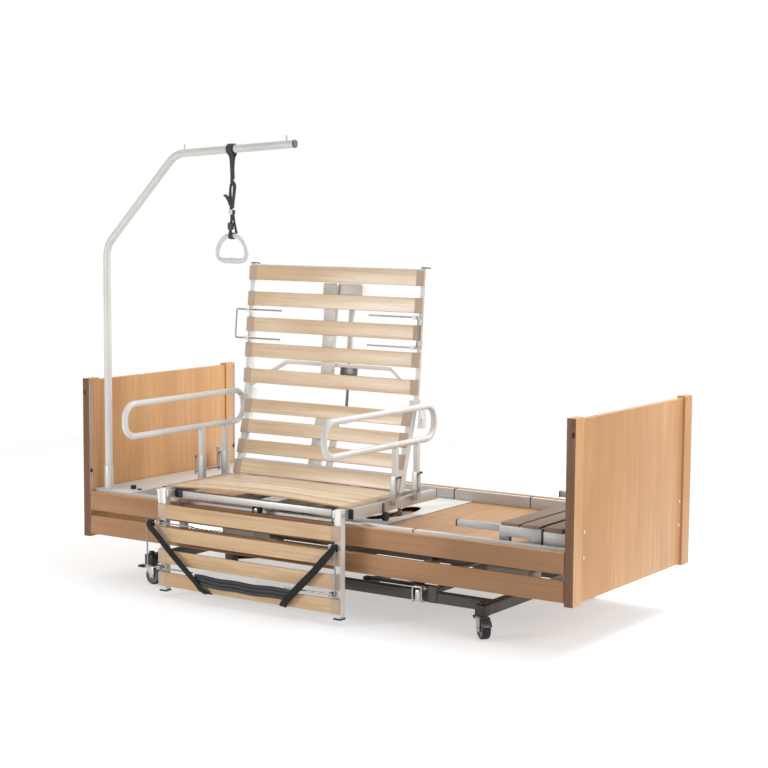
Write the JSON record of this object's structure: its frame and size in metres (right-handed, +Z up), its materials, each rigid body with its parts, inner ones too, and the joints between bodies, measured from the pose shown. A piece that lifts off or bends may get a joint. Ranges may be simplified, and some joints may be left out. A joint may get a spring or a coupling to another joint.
{
  "type": "adjustable hospital bed",
  "caption": "Care bed on casters with a scissor lift, wooden boards and side rails, a turning seat with raised backrest and lowered leg rest, armrests and a lifting pole.",
  "frame": {"origin": "floor level, under the middle of the bounding box in the modelled chair position", "axes": "+X from the headboard to the footboard, -Y towards the side the sitter faces, +Z up"},
  "size_m": [2.355, 1.2534, 1.87],
  "materials": {
    "light_beech": "satin lacquer",
    "rail_beech": "satin lacquer",
    "birch_slat": "satin lacquer",
    "beech_slat": "satin lacquer",
    "white_steel": "satin powder coat",
    "dark_steel": "satin powder coat",
    "profile_aluminium": "anodised",
    "black_plastic": "matt",
    "grey_plastic": "matt",
    "white_plastic": "matt",
    "wheel_rubber": "matt",
    "wire_steel": "satin",
    "rod_steel": "satin",
    "webbing": "woven"
  },
  "bodies": {
    "base": {"base_frame": "dark_steel", "lift_motor": "grey_plastic"},
    "caster_head_front": {"caster_fork_head_front": "black_plastic"},
    "wheels_head_front": {"caster_wheel_head_front": "wheel_rubber"},
    "brake_head_front": {"brake_pedal_head_front": "black_plastic"},
    "caster_head_rear": {"caster_fork_head_rear": "black_plastic"},
    "wheels_head_rear": {"caster_wheel_head_rear": "wheel_rubber"},
    "brake_head_rear": {"brake_pedal_head_rear": "black_plastic"},
    "caster_foot_front": {"caster_fork_foot_front": "black_plastic"},
    "wheels_foot_front": {"caster_wheel_foot_front": "wheel_rubber"},
    "brake_foot_front": {"brake_pedal_foot_front": "black_plastic"},
    "caster_foot_rear": {"caster_fork_foot_rear": "black_plastic"},
    "wheels_foot_rear": {"caster_wheel_foot_rear": "wheel_rubber"},
    "brake_foot_rear": {"brake_pedal_foot_rear": "black_plastic"},
    "scissor_outer": {"scissor_outer": "dark_steel"},
    "scissor_inner": {"scissor_inner": "dark_steel"},
    "lift_rod": {"lift_rod": "rod_steel"},
    "platform": {"platform_frame": "white_steel", "deck_panels": "light_beech", "turntable_plate": "white_steel", "foot_section_frame": "white_steel", "foot_slats": "birch_slat", "platform_plastics": "black_plastic", "coiled_cable": "black_plastic", "headboard": "light_beech", "footboard": "light_beech", "board_hardware": "profile_aluminium"},
    "release_button_front_head": {"release_button_front_head": "black_plastic"},
    "release_button_front_foot": {"release_button_front_foot": "black_plastic"},
    "rail_front_upper": {"rail_front_upper": "rail_beech"},
    "rail_front_lower": {"rail_front_lower": "rail_beech"},
    "release_button_rear_head": {"release_button_rear_head": "black_plastic"},
    "release_button_rear_foot": {"release_button_rear_foot": "black_plastic"},
    "rail_rear_upper": {"rail_rear_upper": "rail_beech"},
    "rail_rear_lower": {"rail_rear_lower": "rail_beech"},
    "seat": {"seat_frame": "profile_aluminium", "seat_slats": "birch_slat", "seat_trim": "black_plastic", "leg_motor": "black_plastic"},
    "leg_rest": {"leg_frame": "profile_aluminium", "leg_slats": "beech_slat", "leg_straps": "webbing"},
    "leg_retainer_left": {"leg_retainer_left": "wire_steel"},
    "leg_retainer_right": {"leg_retainer_right": "wire_steel"},
    "back_retainer_left": {"back_retainer_left": "wire_steel"},
    "back_retainer_right": {"back_retainer_right": "wire_steel"},
    "back_lower": {"back_lower_frame": "white_steel", "back_lower_slats": "birch_slat"},
    "back_upper": {"back_upper_frame": "white_steel", "back_upper_slats": "birch_slat", "back_motor": "white_plastic"},
    "back_rod": {"back_rod": "rod_steel"},
    "armrest_left": {"armrest_left": "white_steel"},
    "armrest_lock_left": {"armrest_lock_left": "black_plastic"},
    "armrest_right": {"armrest_right": "white_steel"},
    "armrest_lock_right": {"armrest_lock_right": "black_plastic"},
    "pole": {"pole": "white_steel"},
    "strap_clasp": {"strap_clasp": "black_plastic"},
    "strap": {"strap": "webbing"},
    "handle": {"handle": "white_plastic"}
  },
  "joints": [
    {"name": "swivel_head_front", "type": "hinge", "parent": "base", "child": "caster_head_front", "pos_m": [-0.86, -0.28925, 0.08], "axis": [0, 0, 1], "continuous": true},
    {"name": "roll_head_front", "type": "hinge", "parent": "caster_head_front", "child": "wheels_head_front", "pos_m": [-0.844, -0.28925, 0.0375], "axis": [0, 1, 0], "continuous": true},
    {"name": "brake_head_front", "type": "hinge", "parent": "caster_head_front", "child": "brake_head_front", "pos_m": [-0.888, -0.28925, 0.072], "axis": [0, -1, 0], "range_deg": [0, 12]},
    {"name": "swivel_head_rear", "type": "hinge", "parent": "base", "child": "caster_head_rear", "pos_m": [-0.86, 0.55075, 0.08], "axis": [0, 0, 1], "continuous": true},
    {"name": "roll_head_rear", "type": "hinge", "parent": "caster_head_rear", "child": "wheels_head_rear", "pos_m": [-0.8455, 0.55751, 0.0375], "axis": [-0.4226, 0.9063, 0], "continuous": true},
    {"name": "brake_head_rear", "type": "hinge", "parent": "caster_head_rear", "child": "brake_head_rear", "pos_m": [-0.88538, 0.53892, 0.072], "axis": [0.4226, -0.9063, 0], "range_deg": [0, 12]},
    {"name": "swivel_foot_front", "type": "hinge", "parent": "base", "child": "caster_foot_front", "pos_m": [0.763, -0.28925, 0.08], "axis": [0, 0, 1], "continuous": true},
    {"name": "roll_foot_front", "type": "hinge", "parent": "caster_foot_front", "child": "wheels_foot_front", "pos_m": [0.77543, -0.29932, 0.0375], "axis": [0.6293, 0.7771, 0], "continuous": true},
    {"name": "brake_foot_front", "type": "hinge", "parent": "caster_foot_front", "child": "brake_foot_front", "pos_m": [0.74124, -0.27163, 0.072], "axis": [-0.6293, -0.7771, 0], "range_deg": [0, 12]},
    {"name": "swivel_foot_rear", "type": "hinge", "parent": "base", "child": "caster_foot_rear", "pos_m": [0.763, 0.55075, 0.08], "axis": [0, 0, 1], "continuous": true},
    {"name": "roll_foot_rear", "type": "hinge", "parent": "caster_foot_rear", "child": "wheels_foot_rear", "pos_m": [0.77865, 0.55408, 0.0375], "axis": [-0.2079, 0.9781, 0], "continuous": true},
    {"name": "brake_foot_rear", "type": "hinge", "parent": "caster_foot_rear", "child": "brake_foot_rear", "pos_m": [0.73561, 0.54493, 0.072], "axis": [0.2079, -0.9781, 0], "range_deg": [0, 12]},
    {"name": "lift", "type": "hinge", "parent": "base", "child": "scissor_outer", "pos_m": [-0.5, 0.13075, 0.145], "axis": [0, -1, 0], "range_deg": [0, 25.5]},
    {"name": "lift_inner", "type": "hinge", "parent": "scissor_outer", "child": "scissor_inner", "pos_m": [-0.05472, 0.13075, 0.21], "axis": [0, -1, 0], "range_deg": [-51, 0]},
    {"name": "lift_platform", "type": "hinge", "parent": "scissor_inner", "child": "platform", "pos_m": [-0.5, 0.13075, 0.275], "axis": [0, -1, 0], "range_deg": [0, 25.5]},
    {"name": "lift_push", "type": "slide", "parent": "base", "child": "lift_rod", "axis": [-1, 0, 0], "range_m": [0, 0.1427]},
    {"name": "press_front_head", "type": "slide", "parent": "platform", "child": "release_button_front_head", "axis": [0, 1, 0], "range_m": [0, 0.004], "stiffness_N_per_m": 600},
    {"name": "press_front_foot", "type": "slide", "parent": "platform", "child": "release_button_front_foot", "axis": [0, 1, 0], "range_m": [0, 0.004], "stiffness_N_per_m": 600},
    {"name": "rail_front", "type": "slide", "parent": "platform", "child": "rail_front_upper", "axis": [0, 0, 1], "range_m": [0, 0.028]},
    {"name": "rail_front_follow", "type": "slide", "parent": "platform", "child": "rail_front_lower", "axis": [0, 0, 1], "range_m": [0, 0.02184]},
    {"name": "press_rear_head", "type": "slide", "parent": "platform", "child": "release_button_rear_head", "axis": [0, -1, 0], "range_m": [0, 0.004], "stiffness_N_per_m": 600},
    {"name": "press_rear_foot", "type": "slide", "parent": "platform", "child": "release_button_rear_foot", "axis": [0, -1, 0], "range_m": [0, 0.004], "stiffness_N_per_m": 600},
    {"name": "rail_rear", "type": "slide", "parent": "platform", "child": "rail_rear_upper", "axis": [0, 0, 1], "range_m": [0, 0.43]},
    {"name": "rail_rear_follow", "type": "slide", "parent": "platform", "child": "rail_rear_lower", "axis": [0, 0, 1], "range_m": [0, 0.3354]},
    {"name": "turntable", "type": "hinge", "parent": "platform", "child": "seat", "pos_m": [-0.222, 0.13075, 0.342], "axis": [0, 0, 1], "range_deg": [-5, 5]},
    {"name": "leg_lift", "type": "hinge", "parent": "seat", "child": "leg_rest", "pos_m": [-0.222, -0.43525, 0.43], "axis": [-1, 0, 0], "range_deg": [0, 85]},
    {"name": "leg_retainer_left_slide", "type": "slide", "parent": "leg_rest", "child": "leg_retainer_left", "axis": [1, 0, 0], "range_m": [-0.02, 0.045]},
    {"name": "leg_retainer_right_slide", "type": "slide", "parent": "leg_rest", "child": "leg_retainer_right", "axis": [1, 0, 0], "range_m": [0, 0.075]},
    {"name": "back_retainer_left_slide", "type": "slide", "parent": "back_upper", "child": "back_retainer_left", "axis": [1, 0, 0], "range_m": [-0.02, 0.045]},
    {"name": "back_retainer_right_slide", "type": "slide", "parent": "back_upper", "child": "back_retainer_right", "axis": [1, 0, 0], "range_m": [0, 0.075]},
    {"name": "recline", "type": "hinge", "parent": "seat", "child": "back_lower", "pos_m": [-0.222, 0.00775, 0.43], "axis": [-1, 0, 0], "range_deg": [0, 25]},
    {"name": "recline_upper", "type": "hinge", "parent": "back_lower", "child": "back_upper", "pos_m": [-0.222, 0.1136, 0.79912], "axis": [-1, 0, 0], "range_deg": [0, 6]},
    {"name": "back_push", "type": "slide", "parent": "back_upper", "child": "back_rod", "axis": [0, 0.0906, 0.9959], "range_m": [0, 0.00491]},
    {"name": "armrest_left_height", "type": "slide", "parent": "seat", "child": "armrest_left", "axis": [0, 0, 1], "range_m": [0, 0.08]},
    {"name": "armrest_left_lock", "type": "hinge", "parent": "seat", "child": "armrest_lock_left", "pos_m": [-0.73, -0.05825, 0.476], "axis": [0, -1, 0], "range_deg": [0, 20]},
    {"name": "armrest_right_height", "type": "slide", "parent": "seat", "child": "armrest_right", "axis": [0, 0, 1], "range_m": [0, 0.08]},
    {"name": "armrest_right_lock", "type": "hinge", "parent": "seat", "child": "armrest_lock_right", "pos_m": [0.286, -0.05825, 0.476], "axis": [0, 1, 0], "range_deg": [0, 20]},
    {"name": "pole_swivel", "type": "hinge", "parent": "platform", "child": "pole", "pos_m": [-1.082, -0.30925, 0.44], "axis": [0, 0, 1], "range_deg": [-60, 60]},
    {"name": "strap_position", "type": "slide", "parent": "pole", "child": "strap_clasp", "axis": [0.9985, 0, 0.0547], "range_m": [-0.2, 0.23]},
    {"name": "strap_swing", "type": "hinge", "parent": "strap_clasp", "child": "strap", "pos_m": [-0.408, -0.30925, 1.81901], "axis": [1, 0, 0], "range_deg": [-30, 30]},
    {"name": "handle_swing", "type": "hinge", "parent": "strap", "child": "handle", "pos_m": [-0.408, -0.30925, 1.475], "axis": [1, 0, 0], "range_deg": [-30, 30]}
  ],
  "couplings": [
    {"joint": "lift_inner", "follows": "lift", "ratio": -2},
    {"joint": "lift_platform", "follows": "lift", "ratio": 1},
    {"joint": "lift_push", "follows": "lift", "m_per_rad": 0.32063},
    {"joint": "rail_front_follow", "follows": "rail_front", "ratio": 0.78},
    {"joint": "rail_rear_follow", "follows": "rail_rear", "ratio": 0.78},
    {"joint": "recline_upper", "follows": "recline", "ratio": 0.24},
    {"joint": "back_push", "follows": "recline", "m_per_rad": 0.011232}
  ]
}
